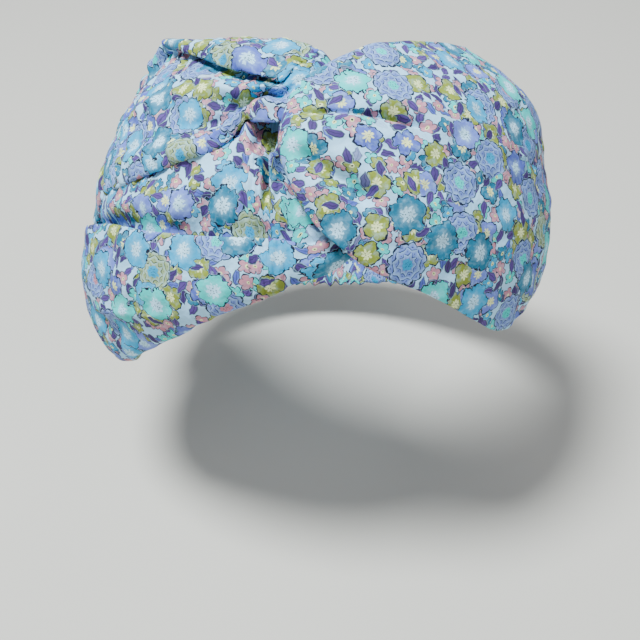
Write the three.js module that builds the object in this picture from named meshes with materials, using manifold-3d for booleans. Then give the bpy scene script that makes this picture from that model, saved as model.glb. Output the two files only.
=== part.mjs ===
// A knotted fabric headband, as worn: two wide cloth tubes, each folded double and looped through
// the other over the forehead, and a ruched casing with an elastic in it behind the neck.
//
// Units are millimetres. X points to the right of someone facing the knot, -Y forwards and +Z up.
// The origin is the middle of the head opening. The band goes round a head shaped as an ellipsoid,
// and everything is laid out in "wrap coordinates" around it:
//   along  distance round the head from the middle of the forehead, positive towards +X
//   z      height above the mid plane of the ring
//   lift   distance off the head
// The finished ring then leans back, so that the knot sits high and the casing sits at the nape.
import * as THREE from "three";
import { mergeVertices } from "three/addons/utils/BufferGeometryUtils.js";
import Module from "manifold-3d";

// Driving dimensions
const HEAD = { x: 76, y: 92, z: 82, middleZ: -12 }; // half axes of the head inside the ring
const MEASURED_AT_LIFT = 8; // the lift at which "along" is true length
const WEAR_TILT = THREE.MathUtils.degToRad(40); // how far the ring leans back
const JOIN_ALONG = 205; // where the cloth tubes end and the casing begins
const FLAT_ALONG = JOIN_ALONG - 13; // from here to the join a band end lies flat under the casing's lap
const GAP = 0.3; // clearance between pieces that touch
const SEAM_GAP = 0.45; // clearance between a curving seam and its cloth
const CLOTH_GAP = 1.4; // clearance between the two bands inside the knot, with a seam thread in it
const THREAD_RADIUS = 0.3;
const CASING = { halfWidth: 21, mouthHalfThickness: 5.6, halfThickness: 3.6, mouthLift: 7.2, lift: 5 };
const LAP = { length: 10, halfWidth: 20, halfThickness: 0.6, lift: 12.2 };
const CHANNEL = { halfWidth: 14, halfThickness: 1.9 };
const ELASTIC = { halfWidth: 12.5, halfThickness: 0.7, fromJoin: 4 };

const BAND_SIDES = 20;
const BAND_STEPS = 72;
const CASING_STEPS = 32;
const THREAD_HALF_SIDES = 3;

// Arc length round the head at MEASURED_AT_LIFT, and its inverse.
const ARC_STEPS = 720;
const arcLengths = [0];
for (let i = 1; i <= ARC_STEPS; i++) {
  const angle = ((i - 0.5) * 2 * Math.PI) / ARC_STEPS;
  const dx = (HEAD.x + MEASURED_AT_LIFT) * Math.cos(angle);
  const dy = (HEAD.y + MEASURED_AT_LIFT) * Math.sin(angle);
  arcLengths.push(arcLengths[i - 1] + (Math.hypot(dx, dy) * 2 * Math.PI) / ARC_STEPS);
}
const GIRTH = arcLengths[ARC_STEPS];

function angleAt(along) {
  const wanted = ((along % GIRTH) + GIRTH) % GIRTH;
  let i = Math.min(ARC_STEPS - 1, Math.floor((wanted / GIRTH) * ARC_STEPS));
  while (i > 0 && arcLengths[i] > wanted) i--;
  while (i < ARC_STEPS - 1 && arcLengths[i + 1] < wanted) i++;
  const share = (wanted - arcLengths[i]) / (arcLengths[i + 1] - arcLengths[i]);
  return ((i + share) * 2 * Math.PI) / ARC_STEPS;
}

// A point in wrap coordinates, as a point in the ring's own frame.
function wrapped({ x: along, y: z, z: lift }) {
  const angle = angleAt(along);
  const height = (z - HEAD.middleZ) / (HEAD.z + lift);
  const girthShare = Math.sqrt(Math.max(0.02, 1 - height * height));
  return new THREE.Vector3(
    (HEAD.x + lift) * girthShare * Math.sin(angle),
    -(HEAD.y + lift) * girthShare * Math.cos(angle),
    z,
  );
}

// A path in wrap coordinates with a half width and a half thickness at each of its stations.
class Ribbon {
  constructor(stations) {
    this.line = new THREE.CatmullRomCurve3(
      stations.map(([along, z, lift]) => new THREE.Vector3(along, z, lift)),
      false,
      "catmullrom",
      0.5,
    );
    this.section = new THREE.CatmullRomCurve3(
      stations.map(([, , , halfWidth, halfThickness, roll = 0]) =>
        new THREE.Vector3(halfWidth, halfThickness, THREE.MathUtils.degToRad(roll)),
      ),
      false,
      "catmullrom",
      0.5,
    );
  }

  // The centre of the ribbon at u, its two section directions, and its half sizes there.
  frame(u, sideways) {
    const step = 0.002;
    const centre = this.line.getPoint(u);
    const ahead = this.line
      .getPoint(Math.min(1, u + step))
      .sub(this.line.getPoint(Math.max(0, u - step)))
      .normalize();
    const across = sideways
      ? new THREE.Vector3(0, 1, 0)
      : new THREE.Vector3(0, 0, 1).cross(ahead).normalize();
    const outwards = new THREE.Vector3().crossVectors(ahead, across).normalize();
    const section = this.section.getPoint(u);
    across.applyAxisAngle(ahead, section.z);
    outwards.applyAxisAngle(ahead, section.z);
    return { centre, across, outwards, halfWidth: section.x, halfThickness: section.y };
  }
}

// Bends a closed cylinder into a ribbon: its height becomes the path and its circle the section.
function ribbonGeometry(ribbon, { sideways = false, steps = BAND_STEPS, grow = 0, sides = BAND_SIDES } = {}) {
  const geometry = new THREE.CylinderGeometry(1, 1, 1, sides, steps);
  const position = geometry.attributes.position;
  const squareness = 0.7;
  for (let i = 0; i < position.count; i++) {
    const frame = ribbon.frame(position.getY(i) + 0.5, sideways);
    const [c, s] = [position.getX(i), -position.getZ(i)];
    const wide = Math.sign(c) * Math.abs(c) ** squareness * (frame.halfWidth + grow);
    const thick = Math.sign(s) * Math.abs(s) ** squareness * (frame.halfThickness + grow);
    const point = wrapped(
      frame.centre.addScaledVector(frame.across, wide).addScaledVector(frame.outwards, thick),
    );
    position.setXYZ(i, point.x, point.y, point.z);
  }
  return geometry;
}

// A round thread through points in wrap coordinates.
function threadGeometry(points, steps, radius = THREAD_RADIUS) {
  const route = new THREE.CatmullRomCurve3(points.map(wrapped));
  const circle = new THREE.Shape().absarc(0, 0, radius, 0, 2 * Math.PI);
  return new THREE.ExtrudeGeometry(circle, {
    extrudePath: route,
    steps,
    curveSegments: THREAD_HALF_SIDES,
    bevelEnabled: false,
  });
}

const wasm = await Module();
wasm.setup();

function solid(geometry) {
  const bare = new THREE.BufferGeometry()
    .setAttribute("position", geometry.attributes.position)
    .setIndex(geometry.index);
  const merged = mergeVertices(bare, 1e-3);
  let made = new wasm.Manifold(
    new wasm.Mesh({
      numProp: 3,
      vertProperties: merged.attributes.position.array,
      triVerts: new Uint32Array(merged.index.array),
    }),
  );
  if (made.volume() < 0) {
    const flipped = new Uint32Array(merged.index.array);
    for (let i = 0; i < flipped.length; i += 3) [flipped[i], flipped[i + 1]] = [flipped[i + 1], flipped[i]];
    made = new wasm.Manifold(
      new wasm.Mesh({ numProp: 3, vertProperties: merged.attributes.position.array, triVerts: flipped }),
    );
  }
  return made;
}

function geometryOf(manifold) {
  const { vertProperties, triVerts, numProp, numVert } = manifold.getMesh();
  const positions = new Float32Array(numVert * 3);
  for (let i = 0; i < numVert; i++) {
    positions.set(vertProperties.subarray(i * numProp, i * numProp + 3), i * 3);
  }
  const geometry = new THREE.BufferGeometry();
  geometry.setAttribute("position", new THREE.BufferAttribute(positions, 3));
  geometry.setIndex(new THREE.BufferAttribute(triVerts, 1));
  geometry.computeVertexNormals();
  return geometry;
}

// Stations are [along, z, lift, half width, half thickness, roll in degrees].
// The left band: its upper leg, the turn inside the knot, and its lower leg.
const leftBand = new Ribbon([
  [-JOIN_ALONG, 0, 9, 19, 2.2],
  [-FLAT_ALONG, 0, 9, 19, 2.2],
  [-175, 6, 10.2, 25, 2.4],
  [-140, 17, 12.5, 31, 2.6],
  [-105, 23, 12.3, 29, 3],
  [-70, 24, 12.3, 28, 3.2],
  [-42, 24.5, 11.5, 25, 3.4],
  [-24, 26, 10, 20, 3.4],
  [-7, 31, 8.6, 12, 3.2],
  [8, 22, 8.4, 11, 3.2],
  [14, 4, 8.4, 11, 3.2],
  [6, -13, 8.2, 15, 3.2],
  [-14, -18, 7.4, 22, 3, 3],
  [-40, -24, 7, 29, 2.8, 6],
  [-70, -27, 8, 32, 2.6, 9],
  [-105, -31, 10, 36, 2.4, 12],
  [-140, -20, 7, 33, 1.8, 8],
  [-175, -5, 3.6, 25, 1.7],
  [-FLAT_ALONG, 0, 3.6, 19, 1.8],
  [-JOIN_ALONG, 0, 3.6, 19, 1.8],
]);

// The right band: its front leg, the turn through the left band's loop, and its rear leg.
const rightBand = new Ribbon([
  [JOIN_ALONG, 0, 9, 19, 2.2],
  [FLAT_ALONG, 0, 9, 19, 2.2],
  [175, 3, 9.8, 25, 2.4],
  [140, 4, 13, 31, 2.6],
  [110, 6, 15.5, 43, 2.8],
  [85, 0, 14.5, 52, 3],
  [60, 1, 14, 49, 3.2],
  [35, 2, 14.5, 43, 3.2],
  [15, 3, 15.6, 34, 3.2],
  [3, 4, 15.6, 24, 3],
  [-6, 8, 14, 13, 2.8],
  [-12.5, 9, 10.5, 5.5, 2.4],
  [-13.5, 9, 6, 5, 2.2],
  [-8, 9, 2.2, 6, 1.4],
  [3, 8, 1.7, 14, 1.1],
  [18, 5, 2, 28, 1.2],
  [40, 3, 2.8, 41, 1.8],
  [65, 1, 3.2, 46, 2],
  [90, 0, 3.6, 45, 2.1],
  [115, 2, 3.6, 36, 2.1],
  [145, 3, 3.6, 28, 2],
  [175, 2, 3.6, 23, 1.9],
  [FLAT_ALONG, 0, 3.6, 19, 1.8],
  [JOIN_ALONG, 0, 3.6, 19, 1.8],
]);

function rightBandGeometry() {
  return ribbonGeometry(rightBand, { sideways: true });
}

// The left band is dented wherever the right band presses on it inside the knot.
function leftBandGeometry() {
  const presser = solid(ribbonGeometry(rightBand, { sideways: true, grow: CLOTH_GAP }));
  return geometryOf(solid(ribbonGeometry(leftBand)).subtract(presser));
}

// The thread that closes a band's tube, along the middle of the face that doesn't show.
function closingSeamGeometry(ribbon, sideways, towards) {
  const points = [];
  const stations = 60;
  for (let i = 0; i <= stations; i++) {
    const frame = ribbon.frame(0.015 + (0.97 * i) / stations, sideways);
    const off = towards * (frame.halfThickness + SEAM_GAP + THREAD_RADIUS);
    points.push(frame.centre.addScaledVector(frame.outwards, off));
  }
  return threadGeometry(points, 72);
}

// The casing's middle line: thick at its two mouths and thinner behind the neck.
const CASING_START = JOIN_ALONG + 0.5;
const CASING_END = GIRTH - CASING_START;
function casingLine(halfWidth, halfThickness, mouthHalfThickness, inset = 0) {
  const [from, to] = [CASING_START + inset, CASING_END - inset];
  const shoulder = 22;
  return new Ribbon([
    [from, 0, CASING.mouthLift, halfWidth, mouthHalfThickness],
    [from + shoulder / 2, 0, (CASING.mouthLift + CASING.lift) / 2 + 0.6, halfWidth, mouthHalfThickness],
    [from + shoulder, 0, CASING.lift, halfWidth, halfThickness],
    [from + 2 * shoulder, 0, CASING.lift, halfWidth, halfThickness],
    [GIRTH / 2, 0, CASING.lift, halfWidth, halfThickness],
    [to - 2 * shoulder, 0, CASING.lift, halfWidth, halfThickness],
    [to - shoulder, 0, CASING.lift, halfWidth, halfThickness],
    [to - shoulder / 2, 0, (CASING.mouthLift + CASING.lift) / 2 + 0.6, halfWidth, mouthHalfThickness],
    [to, 0, CASING.mouthLift, halfWidth, mouthHalfThickness],
  ]);
}

// A flat lap of the casing's end, which lies over the outer face of a band's end.
function lap(side) {
  const at = (fromMouth) => side * (CASING_START + fromMouth);
  return new Ribbon(
    [-LAP.length, -LAP.length / 2, 0, 3].map((fromMouth) => [
      at(fromMouth),
      0,
      LAP.lift,
      LAP.halfWidth,
      LAP.halfThickness,
    ]),
  );
}

function casingGeometry() {
  const flat = { sideways: true, steps: CASING_STEPS, sides: 16 };
  const body = solid(
    ribbonGeometry(casingLine(CASING.halfWidth, CASING.halfThickness, CASING.mouthHalfThickness), flat),
  );
  const channel = solid(
    ribbonGeometry(casingLine(CHANNEL.halfWidth, CHANNEL.halfThickness, CHANNEL.halfThickness, -1), flat),
  );
  const laps = [1, -1].map((side) => solid(ribbonGeometry(lap(side), { sideways: true, steps: 6 })));
  return geometryOf(body.add(laps[0]).add(laps[1]).subtract(channel));
}

function elasticGeometry() {
  const { halfWidth, halfThickness, fromJoin } = ELASTIC;
  return ribbonGeometry(casingLine(halfWidth, halfThickness, halfThickness, fromJoin), {
    sideways: true,
    steps: CASING_STEPS,
    sides: 12,
  });
}

// Two rows of topstitching across a lap, as one thread that runs up and back down.
function topstitchGeometry(side) {
  const lift = LAP.lift + LAP.halfThickness + GAP + THREAD_RADIUS;
  const [nearRow, farRow, halfRow] = [3, 7, 17];
  const rows = [];
  const stitches = 10;
  for (let i = 0; i <= stitches; i++) {
    rows.push([nearRow, -halfRow + (2 * halfRow * i) / stitches]);
  }
  for (let i = stitches; i >= 0; i--) {
    rows.push([farRow, -halfRow + (2 * halfRow * i) / stitches]);
  }
  return threadGeometry(
    rows.map(([row, z]) => new THREE.Vector3(side * (CASING_START - row), z, lift)),
    60,
  );
}

// A zigzag bartack across the elastic's end, inside the casing.
function bartackGeometry(side) {
  const radius = 0.25;
  const halfTack = 9;
  const turns = 12;
  const points = [];
  for (let i = 0; i <= turns; i++) {
    const along = CASING_START + ELASTIC.fromJoin + (i % 2 ? 4.5 : 2);
    const share = (along - CASING_START - ELASTIC.fromJoin) / 11;
    const elasticLift = CASING.mouthLift + ((CASING.lift - CASING.mouthLift) / 2 + 0.6) * share;
    points.push(
      new THREE.Vector3(
        side * along,
        -halfTack + (2 * halfTack * i) / turns,
        elasticLift + ELASTIC.halfThickness + GAP + radius,
      ),
    );
  }
  return threadGeometry(points, 72, radius);
}

// The thread that closes the casing's tube, on the face next to the neck.
function casingSeamGeometry() {
  const lift = CASING.lift - CASING.halfThickness - GAP - THREAD_RADIUS;
  const from = CASING_START + 26;
  const points = [];
  const stations = 24;
  for (let i = 0; i <= stations; i++) {
    points.push(new THREE.Vector3(from + ((GIRTH - 2 * from) * i) / stations, 0, lift));
  }
  return threadGeometry(points, 60);
}

const cloth = new THREE.MeshStandardMaterial({ color: 0xa9cbd6, roughness: 0.85, metalness: 0 });
const woven = new THREE.MeshStandardMaterial({ color: 0xf0efe9, roughness: 0.8, metalness: 0 });
const thread = new THREE.MeshStandardMaterial({ color: 0xe4e9ea, roughness: 0.7, metalness: 0 });

const headband = new THREE.Group();
headband.rotation.x = -WEAR_TILT;
function place(name, geometry, material) {
  const mesh = new THREE.Mesh(geometry, material);
  mesh.name = name;
  headband.add(mesh);
}

place("left_band", leftBandGeometry(), cloth);
place("right_band", rightBandGeometry(), cloth);
place("left_band_closing_seam", closingSeamGeometry(leftBand, false, -1), thread);
place("right_band_closing_seam", closingSeamGeometry(rightBand, true, 1), thread);
place("back_casing", casingGeometry(), cloth);
place("casing_closing_seam", casingSeamGeometry(), thread);
place("back_elastic", elasticGeometry(), woven);
for (const [name, side] of [
  ["left", -1],
  ["right", 1],
]) {
  place(`${name}_join_topstitch`, topstitchGeometry(side), thread);
  place(`${name}_elastic_bartack`, bartackGeometry(side), thread);
}

export default headband;
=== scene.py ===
"""A knotted fabric headband, as worn: two printed cotton tubes looped through each other over the
forehead, and a ruched casing with an elastic in it behind the neck.

Shapes are worked out in millimetres in "wrap coordinates" round an ellipsoid head, as in the CAD:
(along, z, lift) is the distance round the head from the middle of the forehead, the height above the
ring's middle plane, and the distance off the head. wrapped() turns them into metres in the row frame.
"""

import math

import bpy
import numpy as np
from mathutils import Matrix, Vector


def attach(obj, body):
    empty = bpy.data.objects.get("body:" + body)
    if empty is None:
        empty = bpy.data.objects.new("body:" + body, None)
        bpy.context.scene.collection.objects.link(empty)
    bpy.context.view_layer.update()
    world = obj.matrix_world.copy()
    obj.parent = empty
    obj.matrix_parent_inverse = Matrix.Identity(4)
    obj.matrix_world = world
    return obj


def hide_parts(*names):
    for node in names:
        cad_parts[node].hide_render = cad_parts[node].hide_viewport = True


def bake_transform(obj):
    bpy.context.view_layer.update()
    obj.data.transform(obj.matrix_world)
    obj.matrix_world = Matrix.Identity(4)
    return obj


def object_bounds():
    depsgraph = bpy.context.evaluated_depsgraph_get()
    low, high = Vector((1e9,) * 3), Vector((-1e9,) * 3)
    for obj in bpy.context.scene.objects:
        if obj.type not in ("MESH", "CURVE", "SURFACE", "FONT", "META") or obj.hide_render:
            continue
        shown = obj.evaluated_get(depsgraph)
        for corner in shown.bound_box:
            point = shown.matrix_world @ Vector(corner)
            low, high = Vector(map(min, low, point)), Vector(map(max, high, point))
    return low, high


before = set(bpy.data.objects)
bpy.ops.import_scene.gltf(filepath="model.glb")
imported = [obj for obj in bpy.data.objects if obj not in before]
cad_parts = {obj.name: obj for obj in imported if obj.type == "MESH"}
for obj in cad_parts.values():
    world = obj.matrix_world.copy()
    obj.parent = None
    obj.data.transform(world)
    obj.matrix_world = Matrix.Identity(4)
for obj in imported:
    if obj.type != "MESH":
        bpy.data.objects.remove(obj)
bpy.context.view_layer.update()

# ---------------------------------------------------------------- camera

PHOTO_CAMERA = (0.0016, -0.4027, 0.2407)
CAMERA_DOWN = math.radians(36.4)
LENS = 64.0

camera_data = bpy.data.cameras.new("camera")
camera_data.lens = LENS
camera = bpy.data.objects.new("camera", camera_data)
camera.location = PHOTO_CAMERA
camera.rotation_euler = (math.pi / 2 - CAMERA_DOWN, 0, 0)
bpy.context.scene.collection.objects.link(camera)
bpy.context.scene.camera = camera

# ---------------------------------------------------------------- the head and its wrap coordinates

HEAD = np.array((76.0, 92.0, 82.0))
HEAD_MIDDLE_Z = -12.0
MEASURED_AT_LIFT = 8.0
WEAR_TILT = math.radians(40)
JOIN_ALONG = 205.0
MM = 0.001

ANGLES = np.linspace(-math.pi, 2 * math.pi, 4321)
_speeds = np.hypot(
    (HEAD[0] + MEASURED_AT_LIFT) * np.cos(ANGLES), (HEAD[1] + MEASURED_AT_LIFT) * np.sin(ANGLES)
)
ARC = np.concatenate([[0], np.cumsum((_speeds[1:] + _speeds[:-1]) / 2 * np.diff(ANGLES))])
ARC -= np.interp(0, ANGLES, ARC)
GIRTH = float(np.interp(2 * math.pi, ANGLES, ARC))


def tilted(points):
    """Points in the ring's own frame, in millimetres, as metres in the row frame."""
    c, s = math.cos(WEAR_TILT), math.sin(WEAR_TILT)
    x, y, z = np.moveaxis(np.asarray(points, float), -1, 0)
    return np.stack([x, c * y + s * z, c * z - s * y], -1) * MM


def wrapped(points):
    """(along, z, lift) in millimetres as metres in the row frame."""
    along, z, lift = np.moveaxis(np.asarray(points, float), -1, 0)
    angle = np.interp(along, ARC, ANGLES)
    height = (z - HEAD_MIDDLE_Z) / (HEAD[2] + lift)
    share = np.sqrt(np.maximum(0.02, 1 - height**2))
    x = (HEAD[0] + lift) * share * np.sin(angle)
    y = -(HEAD[1] + lift) * share * np.cos(angle)
    return tilted(np.stack([x, y, z], -1))


# ---------------------------------------------------------------- curves, grids and meshes


def smoothstep(x):
    x = np.clip(x, 0, 1)
    return x * x * (3 - 2 * x)


def smooth_path(keys, at):
    """A Catmull-Rom path through evenly numbered keys, read at the numbers in at."""
    keys = np.asarray(keys, float)
    padded = np.concatenate([2 * keys[:1] - keys[1:2], keys, 2 * keys[-1:] - keys[-2:-1]])
    at = np.asarray(at, float)
    i = np.clip(at.astype(int), 0, len(keys) - 2)
    t = (at - i).reshape((-1,) + (1,) * (keys.ndim - 1))
    a, b, c, d = (padded[i + k] for k in range(4))
    return 0.5 * (2 * b + (c - a) * t + (2 * a - 5 * b + 4 * c - d) * t**2 + (3 * b - a - 3 * c + d) * t**3)


def even_numbers(keys, count, dense=4000, finer=(0, 1, 0)):
    """Key numbers that are evenly spaced by distance along the path through the keys. finer is
    (first key, last key, extra length): it crowds more of them in between those two keys."""
    numbers = np.linspace(0, len(keys) - 1, dense)
    length = distances_along(smooth_path(keys, numbers))
    length += finer[2] * smoothstep((numbers - finer[0]) / (finer[1] - finer[0]))
    return np.interp(np.linspace(0, length[-1], count), length, numbers)


def mesh_object(name, vertices, faces, uvs=None):
    mesh = bpy.data.meshes.new(name)
    mesh.from_pydata([tuple(v) for v in vertices], [], [tuple(f) for f in faces])
    if uvs is not None:
        layer = mesh.uv_layers.new(name="cloth_mm")
        corners = np.empty(len(mesh.loops), int)
        mesh.loops.foreach_get("vertex_index", corners)
        layer.data.foreach_set("uv", np.asarray(uvs, float)[corners].astype(np.float32).ravel())
    mesh.polygons.foreach_set("use_smooth", [True] * len(mesh.polygons))
    mesh.update()
    obj = bpy.data.objects.new(name, mesh)
    bpy.context.scene.collection.objects.link(obj)
    return obj


def grid_faces(rows, columns, close_columns=False, offset=0):
    faces = []
    last = columns if close_columns else columns - 1
    for i in range(rows - 1):
        for j in range(last):
            k = (j + 1) % columns
            a, b = offset + i * columns + j, offset + i * columns + k
            faces.append((a, b, b + columns, a + columns))
    return faces


def unit(vectors):
    return vectors / np.linalg.norm(vectors, axis=-1, keepdims=True)


def distances_along(path):
    steps = np.linalg.norm(np.diff(path, axis=0), axis=-1)
    return np.concatenate([[0], np.cumsum(steps)])


def grid_normals(grid):
    along = np.gradient(grid, axis=0)
    across = np.gradient(grid, axis=1)
    normal = np.cross(along, across)
    return normal / np.maximum(1e-12, np.linalg.norm(normal, axis=-1, keepdims=True))


def blurred(values, passes):
    """values, softened along both grid directions, with the borders kept."""
    v = values.copy()
    for _ in range(passes):
        v[1:-1] = (v[:-2] + 2 * v[1:-1] + v[2:]) / 4
        v[:, 1:-1] = (v[:, :-2] + 2 * v[:, 1:-1] + v[:, 2:]) / 4
    return v


def waves(u, v, seed, count, shortest, longest):
    """A soft random height made of sine waves, with lengths in millimetres, of about unit size."""
    rng = np.random.default_rng(seed)
    total = np.zeros_like(u)
    for _ in range(count):
        length = shortest * (longest / shortest) ** rng.random()
        direction = math.pi * rng.random()
        phase = 2 * math.pi * rng.random()
        bend = 0.6 * np.sin(2 * math.pi * (u * 0.013 + v * 0.017) + 6 * rng.random())
        ahead = u * math.cos(direction) + v * math.sin(direction)
        total += np.sin(2 * math.pi * ahead / length + phase + bend)
    return total / math.sqrt(count / 2)


UNWRAP_STEP = 4


def coarse_numbers(count):
    return np.unique(np.append(np.arange(0, count, UNWRAP_STEP), count - 1))


def flat_coordinates(sheet):
    """Where each grid point of a sheet in metres lay before it was folded: distances along and across,
    in mm. A coarse copy is unwrapped with the least stretch, and read in between its points."""
    rows, columns = coarse_numbers(sheet.shape[0]), coarse_numbers(sheet.shape[1])
    coarse = sheet[np.ix_(rows, columns)]
    flat_copy = mesh_object("flat_copy", coarse.reshape(-1, 3), grid_faces(len(rows), len(columns)))
    mesh = flat_copy.data
    mesh.uv_layers.new(name="flat")
    for other in bpy.context.selected_objects:
        other.select_set(False)
    bpy.context.view_layer.objects.active = flat_copy
    flat_copy.select_set(True)
    bpy.ops.object.mode_set(mode="EDIT")
    bpy.ops.mesh.select_all(action="SELECT")
    bpy.ops.uv.unwrap(method="MINIMUM_STRETCH", margin=0.0)
    bpy.ops.object.mode_set(mode="OBJECT")
    corners, places = np.empty(len(mesh.loops), int), np.empty(2 * len(mesh.loops))
    mesh.loops.foreach_get("vertex_index", corners)
    mesh.uv_layers[0].data.foreach_get("uv", places)
    flat = np.empty((len(rows) * len(columns), 2))
    flat[corners] = places.reshape(-1, 2)
    flat = flat.reshape(len(rows), len(columns), 2)
    bpy.data.objects.remove(flat_copy)
    bpy.data.meshes.remove(mesh)
    folded_length, flat_length = (np.linalg.norm(np.diff(g, axis=0), axis=-1).sum() for g in (coarse, flat))
    flat *= folded_length / flat_length / MM
    middle = flat.shape[1] // 2
    heading = flat[-1, middle] - flat[0, middle]
    turn = math.atan2(heading[1], heading[0])
    c, s = math.cos(turn), math.sin(turn)
    flat = np.stack([flat[..., 0] * c + flat[..., 1] * s, flat[..., 1] * c - flat[..., 0] * s], -1)
    flat -= flat[0, middle]
    fine_rows, fine_columns = np.arange(sheet.shape[0]), np.arange(sheet.shape[1])
    out = np.empty(sheet.shape[:2] + (2,))
    for k in range(2):
        by_row = np.stack([np.interp(fine_rows, rows, flat[:, j, k]) for j in range(len(columns))], 1)
        out[..., k] = np.stack([np.interp(fine_columns, columns, by_row[i]) for i in range(len(fine_rows))])
    return out


# ---------------------------------------------------------------- the two cloth bands


def turning_frames(values, ahead):
    """Across and outwards for a band that stays flat on the head: the fourth value of each station is
    the direction of across, in degrees from +along towards +z."""
    angle = np.radians(values[:, 3])
    across = np.stack([np.cos(angle), np.sin(angle), np.zeros(len(angle))], -1)
    return across, np.tile((0.0, 0.0, 1.0), (len(angle), 1))


def folding_frames(values, ahead):
    """Across and outwards for a band that is folded over on itself: across is always +z."""
    across = np.tile((0.0, 1.0, 0.0), (len(ahead), 1))
    return across, unit(np.cross(across, ahead))


def outer_sheet(stations, sections, frames, rows, columns, finer=(0, 1, 0)):
    """The cloth face on the outside of the fold, as a grid of points in wrap coordinates.
    A section is a list of (across, outwards) offsets from its station."""
    stations = np.array(stations, float)
    numbers = even_numbers(stations[:, :3], rows, finer=finer)
    values = smooth_path(stations, numbers)
    last = len(stations) - 1
    ahead = smooth_path(stations[:, :3], np.minimum(numbers + 0.02, last)) - smooth_path(
        stations[:, :3], np.maximum(numbers - 0.02, 0)
    )
    across, outwards = frames(values, ahead)
    section = smooth_path(np.asarray(sections, float), numbers)
    sheet = np.empty((rows, columns, 3))
    for i in range(rows):
        line = section[i]
        fine = smooth_path(line, even_numbers(line, columns, 600))
        sheet[i] = values[i, :3] + fine[:, :1] * across[i] + fine[:, 1:] * outwards[i]
    return sheet, numbers


RIM_STEPS = 4
MOST_BULGE = 0.0012


def inner_face(outer, thickness, flip):
    """The cloth face on the inside of the fold: outer, in metres, pushed in by a thickness at each point."""
    normals = unit(blurred(grid_normals(outer) * (-1 if flip else 1), 3))
    return outer - normals * thickness[..., None]


def closed_tube(name, outer, inner, flip, material):
    """A closed flattened tube: the outer face, a soft fold down each side, and the inner face.
    The print runs on round the folds. flip is for a tube whose rows and columns wind the other way."""
    rows = outer.shape[0]
    flat = flat_coordinates(outer)
    across = (flat[:, 0] - flat[:, -1]).mean(axis=0)
    across /= np.linalg.norm(across)
    folds = []
    for edge, neighbour, sign in ((-1, -2, -1), (0, 1, 1)):
        a, b = outer[:, edge], inner[:, edge]
        out = unit(outer[:, edge] - outer[:, neighbour])
        radius = np.linalg.norm(a - b, axis=-1, keepdims=True) / 2
        bulge = np.minimum(radius, MOST_BULGE)
        fold, places = [], []
        for k in range(1, RIM_STEPS):
            angle = math.pi * k / RIM_STEPS
            fold.append((a + b) / 2 + (a - b) / 2 * math.cos(angle) + out * bulge * math.sin(angle))
            places.append(flat[:, edge] + sign * across * radius / MM * angle)
        folds.append((np.stack(fold, 1), np.stack(places, 1), radius / MM * math.pi))
    (far_fold, far_places, far_width), (near_fold, near_places, _) = folds
    far_edge = flat[:, -1:]
    beyond = ((flat[:, ::-1] - far_edge) @ across)[..., None]
    back = flat[:, ::-1] - 2 * beyond * across - far_width[:, None] * across
    ring = np.concatenate([outer, far_fold, inner[:, ::-1], near_fold[:, ::-1]], 1)
    places = np.concatenate([flat, far_places, back, near_places[:, ::-1]], 1)
    around = ring.shape[1]
    faces = grid_faces(rows, around, close_columns=True)
    for end in (0, rows - 1):
        cap = [end * around + j for j in range(around)]
        for j in range(around // 2 - 1):
            quad = [cap[j], cap[j + 1], cap[around - 2 - j], cap[around - 1 - j]]
            faces.append(quad if end == 0 else quad[::-1])
    if not flip:
        faces = [f[::-1] for f in faces]
    obj = mesh_object(name, ring.reshape(-1, 3), faces, places.reshape(-1, 2))
    obj.data.materials.append(material)
    return obj


def simple_section(half_width, crown, folds=(), points=13):
    """A section from +half_width to -half_width that bulges outwards by crown in its middle.
    Each fold is (where, height, width), with where and width as shares of the half width."""
    shares = np.linspace(1, -1, points)
    height = crown * (1 - np.abs(shares) ** 3)
    for where, size, width in folds:
        height = height + size * np.exp(-(((shares - where) / width) ** 2))
    return [(half_width * s, h) for s, h in zip(shares, height)]


# The left band. Each entry is a station, (along, z, lift, direction of across), and its section, which
# runs from the outer rim of the U to the inner rim. A leg's section is a row of z and a row of lifts,
# since across is straight up or down there. At the turn it is given as offsets.


def offset_pairs(across, outwards):
    return list(zip(across, outwards))


GATHERED = offset_pairs(
    [1.0, 0.94, 0.83, 0.7, 0.57, 0.44, 0.31, 0.18, 0.0, -0.15, -0.3, -0.45, -0.6, -0.76, -0.92, -1.0],
    [-0.8, 0.2, -0.5, 0.5, -0.5, 0.5, -0.5, 0.5, -0.5, 0.5, -0.5, 0.5, -0.5, 0.4, 0.0, -0.8],
)
BUNCHED = offset_pairs(
    [0.93, 1.0, 0.93, 0.8, 0.68, 0.56, 0.44, 0.3, 0.15, 0.0, -0.2, -0.4, -0.6, -0.78, -0.94, -0.98],
    [-2.4, -0.6, 1.4, 2.6, 1.6, 2.6, 1.2, 2.4, 1.2, 2.6, 1.3, 2.6, 1.4, 2.0, 1.0, -1.0],
)
UP, DOWN = 90, -90


def leg(along, centre_z, centre_lift, direction, heights, lifts):
    sign = 1 if direction == UP else -1
    offsets = [(sign * (z - centre_z), lift - centre_lift) for z, lift in zip(heights, lifts)]
    return (along, centre_z, centre_lift, direction), offsets


def turn(along, z, lift, direction, outer, inner, shape=BUNCHED):
    middle, half = (outer - inner) / 2, (outer + inner) / 2
    return (along, z, lift, direction), [(middle + half * a, b) for a, b in shape]


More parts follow.
